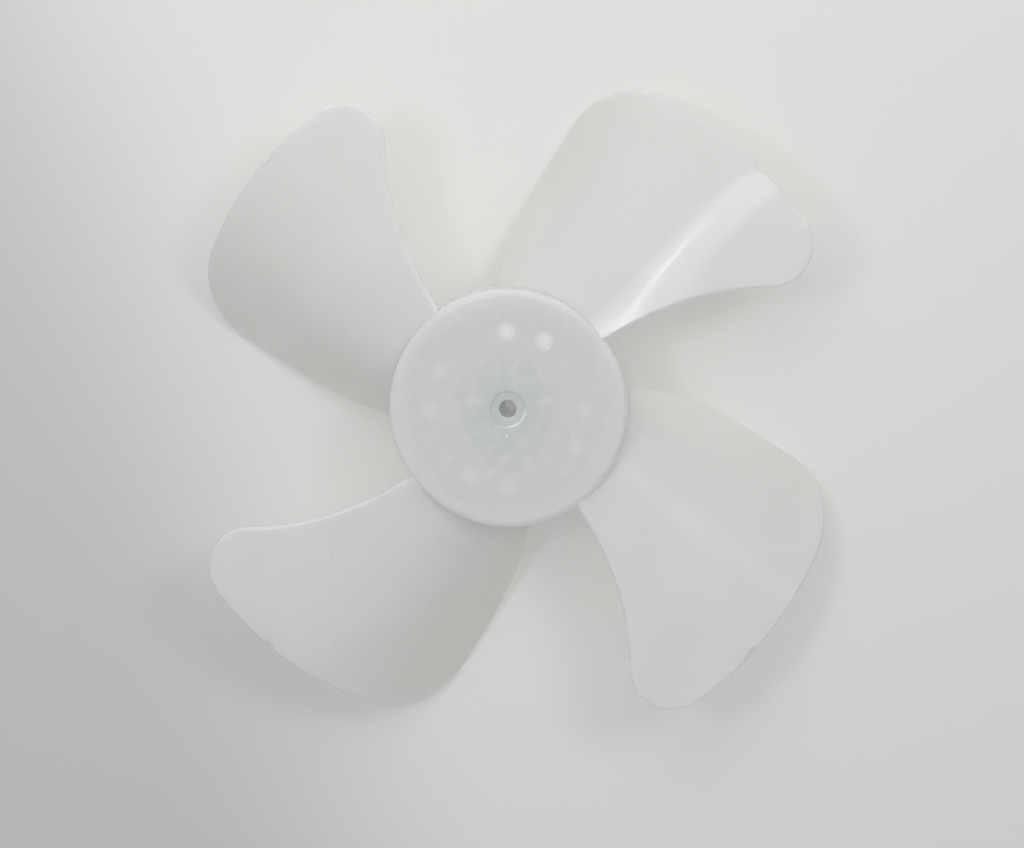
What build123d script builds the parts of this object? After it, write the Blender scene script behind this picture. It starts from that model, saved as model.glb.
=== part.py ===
"""Axial fan blade for a small motor: a hollow hub with four cambered blades, moulded in one piece."""

import os
from math import cos, radians, sin

from build123d import *

# Driving dimensions of the hub, in millimetres and degrees
hub_diameter = 41.5
hub_depth = 14.2
hub_wall = 2.0
hub_edge_radius = 1.2
hub_inner_chamfer = 1.3
boss_diameter = 10.0
boss_setback = 0.6
bore_diameter = 3.1
dish_diameter = 6.2
dish_depth = 0.4
pin_mark_diameter = 3.1
pin_mark_depth = 0.35
pin_mark_ring_diameter = 27.0
pin_mark_angles = (61.7, 90.5)

# Driving dimensions of the blades
fan_diameter = 120.65
blade_count = 4
blade_thickness = 1.6
blade_edge_chamfer = 0.45
blade_root_margin = 1.0
lead_corner_radius = 7.2
trail_corner_radius = 13.0
tip_lean = 1.2
lead_depth_at_hub = 0.3
lead_depth_at_tip = 0.6
trail_drop_at_tip = 20.2
trail_drop_power = 4
lead_angle_at_hub = 35.9
lead_sweep_angle = 7.0
lead_bend_angle = 9.8
trail_angle_at_hub = 99.0
trail_sweep_angle = 38.0
trail_bend_angle = -13.8
camber_share_at_hub = 0.6
camber_share_at_tip = 0.86
camber_power = 3.2

# Worked-out dimensions
hub_radius = hub_diameter / 2
tip_radius = fan_diameter / 2
root_radius = hub_radius - hub_wall / 2
blade_length = tip_radius - hub_radius
boss_depth = hub_depth - boss_setback
trail_drop_at_hub = hub_depth - blade_root_margin - blade_thickness - lead_depth_at_hub

# How finely the blade's surface and outline are drawn, and how far the surface runs past the outline
surface_margin = 3.0
surface_steps = 10
surface_degree = 8
surface_tolerance = 0.02
outline_steps = 4


def lead_angle(radius):
    """Angle of the leading edge where it crosses a radius."""
    way = (radius - hub_radius) / blade_length
    return lead_angle_at_hub - lead_sweep_angle * way - lead_bend_angle * way**2


def trail_angle(radius):
    """Angle of the trailing edge where it crosses a radius."""
    way = (radius - hub_radius) / blade_length
    return trail_angle_at_hub - trail_sweep_angle * way - trail_bend_angle * way**2


def lead_depth(radius):
    """Depth of the leading edge below the hub face at a radius."""
    way = (radius - hub_radius) / blade_length
    return lead_depth_at_hub + (lead_depth_at_tip - lead_depth_at_hub) * way


def trail_drop(radius):
    """Depth of the trailing edge below the leading edge at a radius."""
    way = (radius - hub_radius) / blade_length
    return trail_drop_at_tip - (trail_drop_at_tip - trail_drop_at_hub) * (1 - way) ** trail_drop_power


def camber_share(radius):
    """Share of the blade's drop that bends down towards the trailing edge, where the rest falls evenly."""
    way = (radius - hub_radius) / blade_length
    return camber_share_at_hub + (camber_share_at_tip - camber_share_at_hub) * way


def at_angle(radius, angle):
    """Point of the plan at a radius and an angle."""
    return (radius * cos(radians(angle)), radius * sin(radians(angle)))


def on_blade(radius, share):
    """Point of the upper blade surface, with share 0 on the leading and 1 on the trailing edge."""
    angle = lead_angle(radius) + share * (trail_angle(radius) - lead_angle(radius))
    bend = camber_share(radius)
    fall = (1 - bend) * share + bend * max(share, 0) ** camber_power
    return Vector(*at_angle(radius, angle), -lead_depth(radius) - trail_drop(radius) * fall)


def nearest_upright(part, point):
    """The upright edge of a prism that stands nearest to a point of the plan."""
    uprights = part.edges().filter_by(Axis.Z)
    return uprights.sort_by(lambda edge: (edge.center() - Vector(point[0], point[1], 0)).length)[0]


def from_axis(point):
    """Distance of a point from the fan's axis."""
    return Vector(point.X, point.Y).length


# Outline of one blade in plan, as a tall prism with rounded corners
lead_tip_radius = tip_radius + tip_lean
trail_tip_radius = tip_radius - tip_lean
root_to_tip = [step / outline_steps for step in range(outline_steps + 1)]
lead_radii = [root_radius + (lead_tip_radius - root_radius) * way for way in root_to_tip]
trail_radii = [root_radius + (trail_tip_radius - root_radius) * way for way in root_to_tip]
lead_points = [at_angle(radius, lead_angle(radius)) for radius in lead_radii]
trail_points = [at_angle(radius, trail_angle(radius)) for radius in trail_radii]
tip_middle = at_angle(tip_radius, (lead_angle(tip_radius) + trail_angle(tip_radius)) / 2)
root_middle = at_angle(root_radius, (lead_angle(root_radius) + trail_angle(root_radius)) / 2)
prism_height = 4 * trail_drop_at_tip

with BuildPart() as outline:
    with BuildSketch(Plane.XY.offset(-prism_height / 2)):
        with BuildLine():
            Spline(*lead_points)
            ThreePointArc(lead_points[-1], tip_middle, trail_points[-1])
            Spline(*reversed(trail_points))
            ThreePointArc(trail_points[0], root_middle, lead_points[0])
        make_face()
    extrude(amount=prism_height)
    fillet(nearest_upright(outline, lead_points[-1]), lead_corner_radius)
    fillet(nearest_upright(outline, trail_points[-1]), trail_corner_radius)

# One blade below a hub face at zero: its upper surface is cut to the outline and thickened downwards
surface_start = root_radius - surface_margin
surface_end = tip_radius + surface_margin
side_margin = surface_margin / blade_length
surface_ways = [step / surface_steps for step in range(surface_steps + 1)]
shares = [(1 + 2 * side_margin) * way - side_margin for way in surface_ways]
grid = []
for way in surface_ways:
    radius = surface_start + (surface_end - surface_start) * way
    grid.append([on_blade(radius, share) for share in shares])
whole_surface = Face.make_surface_from_array_of_points(grid, tol=surface_tolerance, max_deg=surface_degree)
upper_surface = whole_surface.intersect(outline.part)

with BuildPart() as blade:
    thicken(upper_surface, amount=blade_thickness, normal_override=(0, 0, -1))
    rims = blade.edges().filter_by(lambda edge: edge.length > 2 * blade_thickness)
    rims = rims.filter_by(lambda edge: from_axis(edge.center()) > hub_radius)
    chamfer(rims, blade_edge_chamfer)

# Heights in the whole fan, which rests on its trailing edges at zero
face_height = -blade.part.bounding_box().min.Z
rim_height = face_height - hub_depth
ceiling_height = face_height - hub_wall
boss_height = face_height - boss_depth
inner_radius = hub_radius - hub_wall

# The hub's section plane stands in a gap between two blades, so that its seam meets no blade
seam_angle = (lead_angle_at_hub + trail_angle_at_hub - 360 / blade_count) / 2
seam_x, seam_y = at_angle(1, seam_angle)
hub_plane = Plane(origin=(0, 0, 0), x_dir=(seam_x, seam_y, 0), z_dir=(seam_y, -seam_x, 0))

with BuildPart() as fan_blade:
    # Hub with its shaft boss, turned about the bore
    with BuildSketch(hub_plane) as hub_section:
        with BuildLine():
            Polyline(
                (bore_diameter / 2, face_height - dish_depth),
                (dish_diameter / 2, face_height - dish_depth),
                (dish_diameter / 2, face_height),
                (hub_radius, face_height),
                (hub_radius, rim_height),
                (inner_radius, rim_height),
                (inner_radius, ceiling_height),
                (boss_diameter / 2, ceiling_height),
                (boss_diameter / 2, boss_height),
                (bore_diameter / 2, boss_height),
                close=True,
            )
        make_face()
        fillet(hub_section.vertices().sort_by_distance((hub_radius, face_height))[0], hub_edge_radius)
        chamfer(hub_section.vertices().sort_by_distance((inner_radius, ceiling_height))[0], hub_inner_chamfer)
    revolve(axis=Axis.Z)

    # Four blades let into the hub wall, level with the hub face at their leading edges
    with PolarLocations(0, blade_count):
        add(blade.part.moved(Location((0, 0, face_height))))

    # Round marks of the ejector pins on the ceiling of the hub
    for pin_angle in pin_mark_angles:
        with BuildSketch(Plane.XY.offset(ceiling_height)):
            with PolarLocations(pin_mark_ring_diameter / 2, blade_count, start_angle=pin_angle):
                Circle(pin_mark_diameter / 2)
        extrude(amount=pin_mark_depth, mode=Mode.SUBTRACT)

fan_blade.part.label = "fan_blade"
os.makedirs("parts", exist_ok=True)
export_step(fan_blade.part, "parts/fan_blade.step")
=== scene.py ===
"""Looks of a moulded refrigerator fan blade: milky plastic, soft studio light and a view from above."""

import logging
import math
from dataclasses import dataclass
from enum import Enum
from typing import Any, Optional, Union

import bmesh
import bpy
from mathutils import Matrix, Vector


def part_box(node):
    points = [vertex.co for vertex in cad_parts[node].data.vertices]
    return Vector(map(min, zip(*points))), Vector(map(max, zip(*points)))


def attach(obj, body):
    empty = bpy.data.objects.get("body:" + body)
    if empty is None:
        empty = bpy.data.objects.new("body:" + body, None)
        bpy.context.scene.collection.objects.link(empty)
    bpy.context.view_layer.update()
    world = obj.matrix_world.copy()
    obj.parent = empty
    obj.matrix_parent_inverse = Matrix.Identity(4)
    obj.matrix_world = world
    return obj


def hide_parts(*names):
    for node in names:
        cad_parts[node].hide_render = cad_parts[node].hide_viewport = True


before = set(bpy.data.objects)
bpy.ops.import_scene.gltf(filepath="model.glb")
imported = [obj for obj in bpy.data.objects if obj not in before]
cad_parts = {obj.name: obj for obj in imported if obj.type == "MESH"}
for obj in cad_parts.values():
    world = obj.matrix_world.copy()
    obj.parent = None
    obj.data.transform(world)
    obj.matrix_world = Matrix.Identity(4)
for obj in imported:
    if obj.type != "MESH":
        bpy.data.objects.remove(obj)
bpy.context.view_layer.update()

LOG = logging.getLogger("fan_blade")
MILLIMETRE = 0.001

Number = Union[int, float]
Colour = tuple[float, float, float]


class Maths(Enum):
    """The Math node operations that the finishes use."""

    ADD = "ADD"
    SUBTRACT = "SUBTRACT"
    MULTIPLY = "MULTIPLY"
    MODULO = "FLOORED_MODULO"
    SINE = "SINE"
    COSINE = "COSINE"
    ROOT = "SQRT"
    ANGLE = "ARCTAN2"
    LARGER = "MAXIMUM"
    SIZE = "ABSOLUTE"


class Side(Enum):
    """Where a lamp hangs over the part, as its azimuth in degrees from +X."""

    LEFT = 157.0
    UPPER_LEFT = 132.5
    UPPER = 95.0
    RIGHT = 33.0
    LOWER = -98.0


@dataclass
class Signal:
    """A node socket that carries one value over a surface and takes part in Python arithmetic."""

    bench: "Bench"
    socket: Any

    def _with(self, operation: Maths, other: "Operand", swap: bool = False) -> "Signal":
        """Add one Math node for this value and another.

        Args:
            operation: What the node works out.
            other: The second value, a number or a signal.
            swap: True where the other value comes first.

        Returns:
            The node's result.
        """
        first, second = (other, self) if swap else (self, other)
        return self.bench.maths(operation, first, second)

    def __add__(self, other: "Operand") -> "Signal":
        """This value plus another."""
        return self._with(Maths.ADD, other)

    def __radd__(self, other: "Operand") -> "Signal":
        """Another value plus this one."""
        return self._with(Maths.ADD, other, swap=True)

    def __sub__(self, other: "Operand") -> "Signal":
        """This value less another."""
        return self._with(Maths.SUBTRACT, other)

    def __rsub__(self, other: "Operand") -> "Signal":
        """Another value less this one."""
        return self._with(Maths.SUBTRACT, other, swap=True)

    def __mul__(self, other: "Operand") -> "Signal":
        """This value times another."""
        return self._with(Maths.MULTIPLY, other)

    def __rmul__(self, other: "Operand") -> "Signal":
        """Another value times this one."""
        return self._with(Maths.MULTIPLY, other, swap=True)

    def __mod__(self, other: "Operand") -> "Signal":
        """What is left of this value after whole steps of another."""
        return self._with(Maths.MODULO, other)


Operand = Union[Signal, Number]


@dataclass
class Bench:
    """The node tree of one material, and the tools that add nodes to it."""

    material: bpy.types.Material

    @classmethod
    def start(cls, name: str) -> "Bench":
        """Make an empty node material.

        Args:
            name: The material's name.

        Returns:
            The bench that fills it.
        """
        material = bpy.data.materials.new(name)
        material.use_nodes = True
        material.node_tree.nodes.clear()
        return cls(material)

    def node(
        self,
        kind: str,
        settings: Optional[dict[str, Any]] = None,
        inputs: Optional[dict[Union[str, int], Any]] = None,
    ) -> bpy.types.Node:
        """Add a node.

        Args:
            kind: The node's type.
            settings: Properties to set first.
            inputs: Values, colours or links for its sockets, by name or number.

        Returns:
            The new node.
        """
        made = self.material.node_tree.nodes.new(kind)
        for name, value in (settings or {}).items():
            setattr(made, name, value)
        for name, value in (inputs or {}).items():
            self._feed(made.inputs[name], value)
        return made

    def _feed(self, socket: Any, value: Any) -> None:
        """Link or set one input socket.

        Args:
            socket: The input.
            value: A signal, an output socket, a number, a vector or a colour.
        """
        if isinstance(value, Signal):
            value = value.socket
        if isinstance(value, bpy.types.NodeSocket):
            self.material.node_tree.links.new(value, socket)
        elif socket.type == "RGBA" and len(value) == 3:
            socket.default_value = (*value, 1.0)
        else:
            socket.default_value = value

    def signal(self, socket: Any) -> Signal:
        """Wrap an output socket for arithmetic."""
        return Signal(self, socket)

    def maths(self, operation: Maths, first: Operand, second: Operand = 0.0) -> Signal:
        """Work out a value from one or two others.

        Args:
            operation: What to work out.
            first: The first value.
            second: The second value, where the operation has one.

        Returns:
            The result.
        """
        made = self.node("ShaderNodeMath", {"operation": operation.value}, {0: first, 1: second})
        return self.signal(made.outputs[0])

    def fade(self, value: Operand, start: float, end: float) -> Signal:
        """Go smoothly from 0 to 1 between two values.

        Args:
            value: The value that is read.
            start: Where the result is 0.
            end: Where the result is 1. It may lie below start.

        Returns:
            The result.
        """
        made = self.node(
            "ShaderNodeMapRange",
            {"interpolation_type": "SMOOTHSTEP"},
            {"Value": value, "From Min": start, "From Max": end, "To Min": 0.0, "To Max": 1.0},
        )
        return self.signal(made.outputs["Result"])

    def mix(self, share: Operand, first: Any, second: Any) -> Any:
        """Mix two colours.

        Args:
            share: 0 for the first colour and 1 for the second.
            first: A colour or a colour socket.
            second: A colour or a colour socket.

        Returns:
            The mixed colour's socket.
        """
        # A Mix node takes its two colours at sockets 6 and 7, and gives the mixed one at 2
        made = self.node("ShaderNodeMix", {"data_type": "RGBA"}, {0: share, 6: first, 7: second})
        return made.outputs[2]

    def noise(self, place: Any, scale: float, detail: float, roughness: float = 0.55) -> Signal:
        """Cloudy noise around 0.5.

        Args:
            place: The vector socket that it reads.
            scale: Its patches per metre.
            detail: How many finer layers it has.
            roughness: How strong the finer layers are.

        Returns:
            The noise value.
        """
        made = self.node(
            "ShaderNodeTexNoise",
            {"noise_dimensions": "3D"},
            {"Vector": place, "Scale": scale, "Detail": detail, "Roughness": roughness},
        )
        return self.signal(made.outputs[0])

    def flecks(self, place: Any, scale: float, size: float) -> tuple[Signal, Signal]:
        """Scattered round flecks.

        Args:
            place: The vector socket that they read.
            scale: Their cells per metre.
            size: A fleck's radius as a share of its cell. Its full tone begins at two fifths of that.

        Returns:
            A signal that is 1 in a fleck and 0 elsewhere, and a number from 0 to 1 that each fleck draws.
        """
        made = self.node("ShaderNodeTexVoronoi", {"feature": "F1"}, {"Vector": place, "Scale": scale})
        inside = self.fade(self.signal(made.outputs["Distance"]), size, size * 0.4)
        parts = self.node("ShaderNodeSeparateColor", None, {0: made.outputs["Color"]}).outputs
        return inside, self.signal(parts[0])

    def scratches(
        self,
        place: Any,
        turn: float,
        scale: float,
        stretch: float = 16.0,
        start: float = 0.74,
        end: float = 0.79,
    ) -> Signal:
        """Fine scratches that run one way.

        Args:
            place: The vector socket that they read.
            turn: Their direction in degrees about +Z.
            scale: Their number per metre across.
            stretch: How many times longer than wide they are.
            start: The noise value where a scratch begins to show, which sets how many there are.
            end: The noise value where it shows fully.

        Returns:
            1 in a scratch and 0 elsewhere.
        """
        laid = self.node(
            "ShaderNodeMapping",
            {"vector_type": "TEXTURE"},
            {"Vector": place, "Rotation": (0.0, 0.0, math.radians(turn)), "Scale": (stretch, 1.0, stretch)},
        )
        return self.fade(self.noise(laid.outputs[0], scale, detail=0.0), start, end)


@dataclass(frozen=True)
class MilkyPlastic:
    """Unpigmented polypropylene: milky, lit from within, with a satin skin, signs of handling, and some
    painted light and shade.

    Lengths are in metres, scales are patches per metre, and each share says how strongly its tone is laid on.
    """

    lit_high_tone: Colour = (0.74, 0.74, 0.728)
    shaded_low_tone: Colour = (0.738, 0.735, 0.721)
    haze_tone: Colour = (0.80, 0.80, 0.79)
    hub_tone: Colour = (0.705, 0.713, 0.71)
    ring_tone: Colour = (0.74, 0.743, 0.736)
    edge_light_tone: Colour = (0.91, 0.911, 0.906)
    boss_tone: Colour = (0.66, 0.683, 0.687)
    bore_shade_tone: Colour = (0.65, 0.66, 0.66)
    mark_and_highlight_tone: Colour = (0.97, 0.972, 0.97)
    dirt_tone: Colour = (0.62, 0.60, 0.56)
    haze_share: float = 0.35
    boss_share: float = 0.9
    blotch_share: float = 0.6
    edge_share: float = 0.3
    mark_share: float = 0.6
    dim_mark_share: float = 0.3
    dish_highlight_share: float = 0.8
    scratch_share: float = 0.05
    glint_share: float = 0.8
    dirt_share: float = 0.5
    cloud_scale: float = 45.0
    mottle_scale: float = 420.0
    grain_scale: float = 2200.0
    fleck_scale: float = 420.0
    fleck_size: float = 0.13
    scratch_ways: tuple[tuple[float, float], ...] = ((24.0, 1700.0), (131.0, 1400.0))
    cloud_shift: float = 6.0 * MILLIMETRE
    mottle_shift: float = 3.0 * MILLIMETRE
    boss_shift: float = 8.0 * MILLIMETRE
    boss_reach: float = 11.0 * MILLIMETRE
    ring_start: float = 5.0 * MILLIMETRE
    ring_end: float = 2.2 * MILLIMETRE
    edge_start: float = 1.1 * MILLIMETRE
    edge_end: float = 0.1 * MILLIMETRE
    border: float = 0.4 * MILLIMETRE
    lip_start: float = 3.0 * MILLIMETRE
    lip_end: float = 1.5 * MILLIMETRE
    bright_marks_start: float = 8.0 * MILLIMETRE
    bright_marks_end: float = 11.0 * MILLIMETRE
    roughness: float = 0.58
    grain_strength: float = 0.1
    grain_depth: float = 0.1 * MILLIMETRE
    refraction: float = 1.49
    scatter_depth: float = 3.5 * MILLIMETRE
    skin_gloss: float = 0.9
    skin_roughness: float = 0.095

    def make(self, fan: "FanBlade") -> bpy.types.Material:
        """Build the material.

        Args:
            fan: The part, whose sizes place the marks.

        Returns:
            The finished material.
        """
        bench = Bench.start("milky_plastic")
        place = bench.node("ShaderNodeTexCoord").outputs["Object"]
        axes = bench.node("ShaderNodeSeparateXYZ", None, {0: place}).outputs
        x, y, z = (bench.signal(axis) for axis in axes)
        away = bench.maths(Maths.ROOT, x * x + y * y)
        angle = bench.maths(Maths.ANGLE, y, x)

        # The noises, the signs of handling and the painted glints
        cloud = bench.noise(place, self.cloud_scale, detail=1.0)
        mottle = bench.noise(place, self.mottle_scale, detail=2.0, roughness=0.7)
        grain = bench.noise(place, self.grain_scale, detail=0.0)
        wear = self._wear(bench, place)
        fleck, pick = bench.flecks(place, self.fleck_scale, self.fleck_size)
        glints = fleck * bench.fade(pick, 0.55, 0.95)
        dirt = fleck * bench.fade(pick, 0.07, 0.05)
        upper = bench.fade(y, self.bright_marks_start, self.bright_marks_end)
        mark_strength = self.dim_mark_share + (1.0 - self.dim_mark_share) * upper
        marks = self._pin_marks(bench, fan, away, angle) * mark_strength

        # The colours, from the broad zones to the small marks
        in_hub = bench.fade(away, fan.hub_radius + self.border, fan.hub_radius - self.border)
        # painted shade: the blades are painted a little darker low down, near the floor, and lighter high up
        high = bench.fade(z + (cloud - 0.5) * self.cloud_shift, 2.0 * MILLIMETRE, fan.face_height)
        colour = bench.mix(high, self.shaded_low_tone, self.lit_high_tone)
        colour = bench.mix(bench.fade(cloud, 0.4, 0.65) * self.haze_share, colour, self.haze_tone)
        colour = bench.mix(in_hub, colour, self._hub_colour(bench, fan, away, mottle, cloud))
        # painted light: the rims are painted pale, and a painted highlight runs along the lips of the high
        # edges
        rims, lips = self._thin_edges(bench, away, z, fan)
        colour = bench.mix(bench.maths(Maths.LARGER, rims, lips), colour, self.edge_light_tone)
        colour = bench.mix(marks * self.mark_share, colour, self.mark_and_highlight_tone)
        # painted highlight on the lower right stretch of the dish's rim
        dish_highlight = self._dish_rim_highlight(bench, fan, x, y, away)
        colour = bench.mix(dish_highlight * self.dish_highlight_share, colour, self.mark_and_highlight_tone)
        colour = bench.mix(wear * self.scratch_share, colour, self.mark_and_highlight_tone)
        # painted highlights: small pale glints scattered over the hub
        colour = bench.mix(glints * in_hub * self.glint_share, colour, self.mark_and_highlight_tone)
        colour = bench.mix(dirt * self.dirt_share, colour, self.dirt_tone)

        # The skin: rougher where it is mottled, scratched or under the painted glints
        rough = self.roughness + (mottle - 0.5) * 0.12 + wear * 0.08 + glints * 0.1
        bump = bench.node(
            "ShaderNodeBump",
            None,
            {"Strength": self.grain_strength, "Distance": self.grain_depth, "Height": grain},
        ).outputs[0]
        surface = bench.node(
            "ShaderNodeBsdfPrincipled",
            {"subsurface_method": "RANDOM_WALK"},
            {
                "Base Color": colour,
                "Roughness": rough,
                "Normal": bump,
                "IOR": self.refraction,
                "Subsurface Weight": 1.0,
                "Subsurface Radius": (1.0, 1.0, 1.0),
                "Subsurface Scale": self.scatter_depth,
                "Coat Weight": (1.0 - rims) * self.skin_gloss,
                "Coat Roughness": self.skin_roughness,
            },
        )
        bench.node("ShaderNodeOutputMaterial", None, {"Surface": surface.outputs[0]})
        return bench.material

    def _thin_edges(self, bench: Bench, away: Signal, z: Signal, fan: "FanBlade") -> tuple[Signal, Signal]:
        """The blades' upright rims and the lips of their high edges, which are painted pale: painted light on
        the rims and a painted highlight along the lips.

        Args:
            bench: The material's bench.
            away: Distance from the axis.
            z: Height above the floor.
            fan: The part.

        Returns:
            A signal that is 1 on a rim, and one that is 1 on a lip.
        """
        facing = bench.node("ShaderNodeNewGeometry").outputs["Normal"]
        rise = bench.signal(bench.node("ShaderNodeSeparateXYZ", None, {0: facing}).outputs["Z"])
        level = bench.maths(Maths.SIZE, rise)
        outside = bench.fade(away, fan.hub_radius, fan.hub_radius + 1.0 * MILLIMETRE)
        high = bench.fade(z, fan.face_height - self.lip_start, fan.face_height - self.lip_end)
        rims = bench.fade(level, 0.55, 0.3) * outside
        lips = bench.fade(level, 0.96, 0.86) * outside * high
        return rims, lips

    def _hub_colour(
        self, bench: Bench, fan: "FanBlade", away: Signal, mottle: Signal, cloud: Signal
    ) -> Any:
        """The hub's colour: bluish over the boss, paler over the wall, with a painted highlight on its
        rounded edge and painted shade in the bore.

        Args:
            bench: The material's bench.
            fan: The part.
            away: Distance from the axis.
            mottle: Fine noise that breaks the colour up.
            cloud: Broad noise that bends the zones' borders.

        Returns:
            The colour's socket.
        """
        edge = fan.hub_radius
        bent = away + (cloud - 0.5) * self.cloud_shift + (mottle - 0.5) * self.mottle_shift
        in_ring = bench.fade(bent, edge - self.ring_start, edge - self.ring_end)
        in_edge = bench.fade(away, edge - self.edge_start, edge - self.edge_end)
        in_boss = bench.fade(bent + (mottle - 0.5) * self.boss_shift, self.boss_reach, fan.boss_radius)
        shaded_bore = bench.fade(away, fan.bore_radius + 0.1 * MILLIMETRE, fan.bore_radius)
        hub = bench.mix(in_ring, self.hub_tone, self.ring_tone)
        hub = bench.mix(in_boss * self.boss_share, hub, self.boss_tone)
        hub = bench.mix(bench.fade(mottle, 0.5, 0.68) * self.blotch_share, hub, self.ring_tone)
        # painted highlight: the hub's rounded edge is painted pale all round
        hub = bench.mix(in_edge * self.edge_share, hub, self.edge_light_tone)
        # painted shade: the bore is painted darker
        return bench.mix(shaded_bore, hub, self.bore_shade_tone)

    def _pin_marks(self, bench: Bench, fan: "FanBlade", away: Signal, angle: Signal) -> Signal:
        """Hazy pale spots over the ejector pin marks, in pairs around the hub.

        Args:
            bench: The material's bench.
            fan: The part.
            away: Distance from the axis.
            angle: Angle about the axis, in radians.

        Returns:
            1 in the middle of a spot and 0 away from the spots.
        """
        step = 2 * math.pi / fan.blade_count
        spots = None
        for start in fan.pin_angles:
            turned = (angle - math.radians(start) + step / 2) % step - step / 2
            along = away * bench.maths(Maths.COSINE, turned) - fan.pin_ring_radius
            across = away * bench.maths(Maths.SINE, turned)
            gap = bench.maths(Maths.ROOT, along * along + across * across)
            spot = bench.fade(gap, fan.pin_radius * 1.4, fan.pin_radius * 0.3)
            spots = spot if spots is None else bench.maths(Maths.LARGER, spots, spot)
        return spots

    def _dish_rim_highlight(self, bench: Bench, fan: "FanBlade", x: Signal, y: Signal, away: Signal) -> Signal:
        """A painted highlight along the lower right stretch of the dish's rim, where the rim catches the
        light.

        Args:
            bench: The material's bench.
            fan: The part.
            x: Place along X.
            y: Place along Y.
            away: Distance from the axis.

        Returns:
            1 on the painted highlight and 0 elsewhere.
        """
        off_rim = bench.maths(Maths.SIZE, away - fan.dish_radius)
        line = bench.fade(off_rim, 0.3 * MILLIMETRE, 0.05 * MILLIMETRE)
        return line * bench.fade(x - y, 2.4 * MILLIMETRE, 4.0 * MILLIMETRE)

    def _wear(self, bench: Bench, place: Any) -> Signal:
        """Fine handling scratches in two directions.

        Args:
            bench: The material's bench.
            place: The vector socket that they read.

        Returns:
            1 in a scratch and 0 elsewhere.
        """
        lines = None
        for turn, scale in self.scratch_ways:
            line = bench.scratches(place, turn, scale)
            lines = line if lines is None else bench.maths(Maths.LARGER, lines, line)
        return lines


@dataclass(frozen=True)
class PaleFloor:
    """The pale surface that the part lies on, with painted shade that darkens it towards -X and -Y and a
    painted shadow under the hub's bore.
    """

    tone: Colour = (0.845, 0.845, 0.83)
    shaded_side_tone: Colour = (0.65, 0.65, 0.645)
    shaded_tone: Colour = (0.62, 0.62, 0.615)
    side_start: float = -30.0 * MILLIMETRE
    side_end: float = -95.0 * MILLIMETRE
    side_slant: float = 0.4
    roughness: float = 0.6

    def make(self, fan: "FanBlade") -> bpy.types.Material:
        """Build the floor's material.

        Args:
            fan: The part, whose hub keeps the light off the floor below its bore.

        Returns:
            The finished material.
        """
        bench = Bench.start("pale_floor")
        place = bench.node("ShaderNodeTexCoord").outputs["Object"]
        axes = bench.node("ShaderNodeSeparateXYZ", None, {0: place}).outputs
        across = bench.signal(axes["X"]) + bench.signal(axes["Y"]) * self.side_slant
        # painted shade: the floor darkens towards -X and -Y, away from the lamps
        colour = bench.mix(bench.fade(across, self.side_start, self.side_end), self.tone, self.shaded_side_tone)
        reach = bench.node("ShaderNodeVectorMath", {"operation": "LENGTH"}, {0: place})
        away = bench.signal(reach.outputs["Value"])
        # painted shadow: a darker round spot on the floor under the hub's bore
        colour = bench.mix(bench.fade(away, fan.hub_radius * 0.6, 0.0), colour, self.shaded_tone)
        surface = bench.node(
            "ShaderNodeBsdfPrincipled", None, {"Base Color": colour, "Roughness": self.roughness}
        )
        bench.node("ShaderNodeOutputMaterial", None, {"Surface": surface.outputs[0]})
        return bench.material


@dataclass
class FanBlade:
    """The moulded part itself, with the sizes that place its finish, in metres and degrees."""

    node_name: str = "fan_blade"
    blade_count: int = 4
    hub_radius: float = 20.75 * MILLIMETRE
    boss_radius: float = 5.0 * MILLIMETRE
    bore_radius: float = 1.55 * MILLIMETRE
    dish_radius: float = 3.1 * MILLIMETRE
    pin_ring_radius: float = 13.5 * MILLIMETRE
    pin_radius: float = 1.55 * MILLIMETRE
    pin_angles: tuple[float, ...] = (61.7, 90.5)
    weld_gap: float = 0.001 * MILLIMETRE
    soft_angle: float = 60.0
    same_angle: float = 20.0
    root_gap: float = 0.3 * MILLIMETRE

    @property
    def face_height(self) -> float:
        """Height of the closed hub face above the floor."""
        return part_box(self.node_name)[1].z

    def build(self) -> bpy.types.Object:
        """Make a welded copy of the moulded part, whose narrow bevels are shaded as round edges.

        Returns:
            The copy's object, which stands for the CAD node.
        """
        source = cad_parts[self.node_name].data
        corners = [corner.vector.copy() for corner in source.corner_normals]
        welded = bmesh.new()
        welded.from_mesh(source)
        bmesh.ops.remove_doubles(welded, verts=welded.verts[:], dist=self.weld_gap)
        mesh = bpy.data.meshes.new("moulded_fan")
        welded.to_mesh(mesh)
        welded.free()
        mesh.shade_smooth()
        mesh.normals_split_custom_set(self._round_edges(mesh, corners))
        moulded = bpy.data.objects.new("moulded_fan", mesh)
        bpy.context.scene.collection.objects.link(moulded)
        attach(moulded, "root")
        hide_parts(self.node_name)
        return moulded

    def _round_edges(self, mesh: bpy.types.Mesh, corners: list[Vector]) -> list[Vector]:
        """Turn each face corner on the blades to the normal of the widest surface that meets there.

        Args:
            mesh: The welded mesh.
            corners: The normals of its face corners, in order, as the surfaces have them.

        Returns:
            The new normals. A corner that stands sharply off the widest surface keeps its own.
        """
        soft = math.cos(math.radians(self.soft_angle))
        same = math.cos(math.radians(self.same_angle))
        around: dict[int, list[tuple[int, float]]] = {}
        for face in mesh.polygons:
            for corner in face.loop_indices:
                vertex = mesh.loops[corner].vertex_index
                if mesh.vertices[vertex].co.xy.length > self.hub_radius + self.root_gap:
                    around.setdefault(vertex, []).append((corner, face.area))
        rounded = list(corners)
        for meeting in around.values():
            width = {
                corner: sum(area for other, area in meeting if corners[other].dot(corners[corner]) > same)
                for corner, _ in meeting
            }
            widest = corners[max(width, key=width.get)]
            for corner, _ in meeting:
                if corners[corner].dot(widest) > soft:
                    rounded[corner] = widest
        return rounded

    def dress(self, moulded: bpy.types.Object, finish: MilkyPlastic) -> None:
        """Give the moulded part its plastic.

        Args:
            moulded: The part's object.
            finish: The plastic.
        """
        moulded.data.materials.clear()
        moulded.data.materials.append(finish.make(self))


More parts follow.
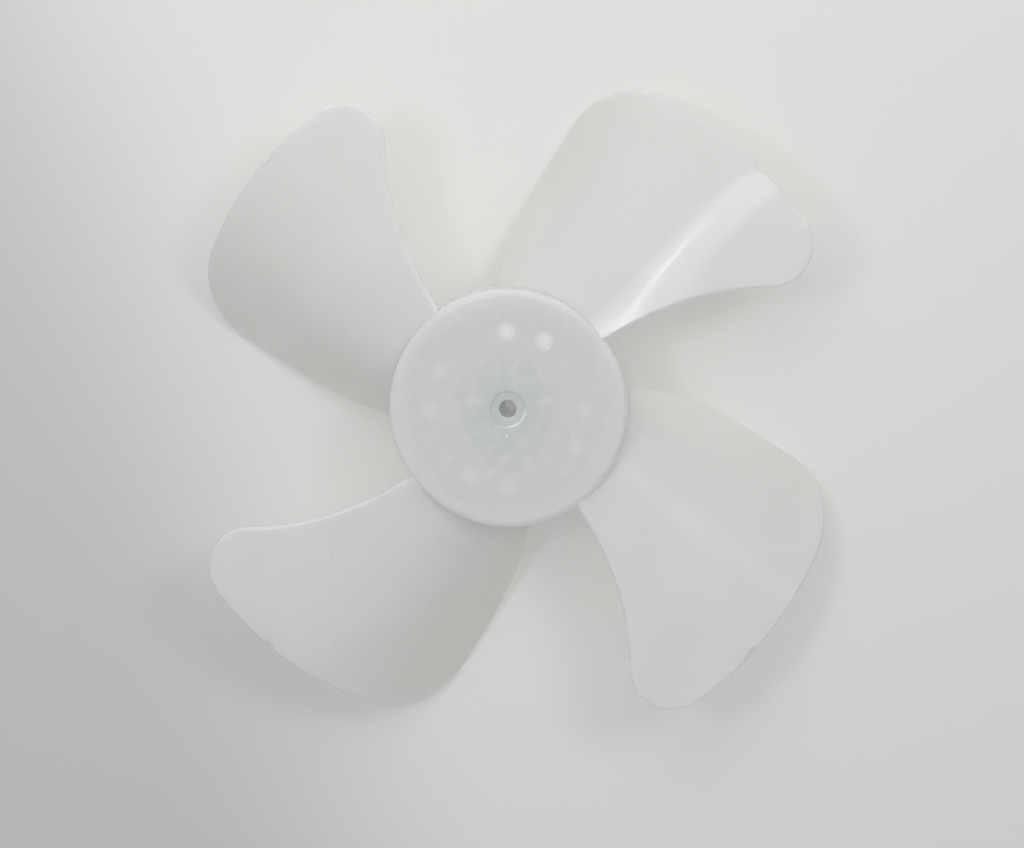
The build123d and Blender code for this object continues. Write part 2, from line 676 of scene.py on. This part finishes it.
@dataclass
class Lamp:
    """One soft round lamp that hangs over the part and points at it, in metres, degrees and watts."""

    side: Side
    zenith: float
    distance: float
    width: float
    power: float
    casts_shadow: bool = True
    shines: bool = True

    def hang(self, name: str, target: Vector) -> bpy.types.Object:
        """Make the lamp.

        Args:
            name: The lamp's name.
            target: The point that it lights.

        Returns:
            The lamp's object.
        """
        turn = math.radians(self.side.value)
        tilt = math.radians(self.zenith)
        way = Vector((math.cos(turn) * math.sin(tilt), math.sin(turn) * math.sin(tilt), math.cos(tilt)))
        data = bpy.data.lights.new(name, "AREA")
        data.shape = "DISK"
        data.size = self.width
        data.energy = self.power
        data.use_shadow = self.casts_shadow
        lamp = bpy.data.objects.new(name, data)
        lamp.visible_glossy = self.shines
        lamp.location = target + way * self.distance
        lamp.rotation_mode = "QUATERNION"
        lamp.rotation_quaternion = (-way).to_track_quat("-Z", "Y")
        bpy.context.scene.collection.objects.link(lamp)
        return lamp


@dataclass
class Studio:
    """Floor, light and camera around the part, in metres and degrees."""

    floor_size: float = 3.0
    sky_tone: Colour = (1.0, 1.0, 0.995)
    sky_strength: float = 0.305
    camera_distance: float = 0.9
    camera_lean: tuple[float, float] = (0.091, 0.111)
    camera_aim: tuple[float, float] = (0.8 * MILLIMETRE, -2.6 * MILLIMETRE)
    lens: float = 182.5
    sensor: float = 36.0
    clip_start: float = 0.05
    clip_end: float = 20.0

    def lay_floor(self, finish: PaleFloor, fan: FanBlade) -> bpy.types.Object:
        """Lay the floor under the part.

        Args:
            finish: The floor's finish.
            fan: The part that lies on it.

        Returns:
            The floor's object.
        """
        sheet = bmesh.new()
        bmesh.ops.create_grid(sheet, x_segments=2, y_segments=2, size=self.floor_size / 2)
        mesh = bpy.data.meshes.new("floor")
        sheet.to_mesh(mesh)
        sheet.free()
        floor = bpy.data.objects.new("floor", mesh)
        mesh.materials.append(finish.make(fan))
        bpy.context.scene.collection.objects.link(floor)
        return floor

    def light_sky(self) -> bpy.types.World:
        """Fill the room with even light.

        Returns:
            The world.
        """
        world = bpy.data.worlds.new("room")
        world.use_nodes = True
        sky = world.node_tree.nodes["Background"]
        sky.inputs["Color"].default_value = (*self.sky_tone, 1.0)
        sky.inputs["Strength"].default_value = self.sky_strength
        bpy.context.scene.world = world
        return world

    def hang_lamps(self, target: Vector) -> list[bpy.types.Object]:
        """Hang the soft lamps.

        Args:
            target: The point that they light.

        Returns:
            The lamps' objects.
        """
        lamps = {
            "key": Lamp(
                Side.LEFT, zenith=24.0, distance=1.1, width=0.2, power=0.8, shines=False
            ),
            "spark": Lamp(
                Side.UPPER_LEFT, zenith=21.3, distance=4.0, width=0.06, power=0.3, casts_shadow=False
            ),
            "halo": Lamp(
                Side.UPPER_LEFT, zenith=20.0, distance=2.5, width=0.5, power=1.3, casts_shadow=False
            ),
            "glow": Lamp(
                Side.RIGHT, zenith=41.5, distance=1.1, width=0.3, power=0.14, casts_shadow=False
            ),
            "softbox": Lamp(
                Side.RIGHT, zenith=38.0, distance=0.9, width=0.3, power=0.78, shines=False
            ),
            "bounce": Lamp(
                Side.UPPER, zenith=41.0, distance=0.42, width=0.35, power=0.775,
                casts_shadow=False, shines=False,
            ),
            "fill": Lamp(
                Side.LOWER, zenith=55.0, distance=1.1, width=0.5, power=1.35,
                casts_shadow=False, shines=False,
            ),
        }
        return [lamp.hang(name, target) for name, lamp in lamps.items()]

    def set_camera(self, height: float) -> bpy.types.Object:
        """Put the camera over the part at the picture's viewing angle.

        Args:
            height: Height of the hub face, which the camera looks at.

        Returns:
            The camera's object.
        """
        data = bpy.data.cameras.new("camera")
        data.lens = self.lens
        data.sensor_width = self.sensor
        data.clip_start = self.clip_start
        data.clip_end = self.clip_end
        camera = bpy.data.objects.new("camera", data)
        way = Vector((*self.camera_lean, 1.0)).normalized()
        camera.location = Vector((*self.camera_aim, height)) + way * self.camera_distance
        camera.rotation_mode = "QUATERNION"
        right = Vector((0.0, 1.0, 0.0)).cross(way).normalized()
        camera.rotation_quaternion = Matrix((right, way.cross(right), way)).transposed().to_quaternion()
        bpy.context.scene.collection.objects.link(camera)
        bpy.context.scene.camera = camera
        return camera


def main() -> None:
    """Dress the part, set up the studio and report each piece."""
    logging.basicConfig(level=logging.INFO, format="%(name)s: %(message)s")
    bpy.context.scene.view_settings.view_transform = "Standard"
    fan = FanBlade()
    studio = Studio()
    moulded = fan.build()
    fan.dress(moulded, MilkyPlastic())
    LOG.info("%s dressed in %s", moulded.name, moulded.data.materials[0].name)
    floor = studio.lay_floor(PaleFloor(), fan)
    LOG.info("%s laid, %.1f m wide", floor.name, studio.floor_size)
    world = studio.light_sky()
    LOG.info("%s lit", world.name)
    for lamp in studio.hang_lamps(Vector((0.0, 0.0, fan.face_height))):
        LOG.info("lamp %s hung", lamp.name)
    camera = studio.set_camera(fan.face_height)
    LOG.info("%s set", camera.name)


if __name__ == "__main__":
    main()
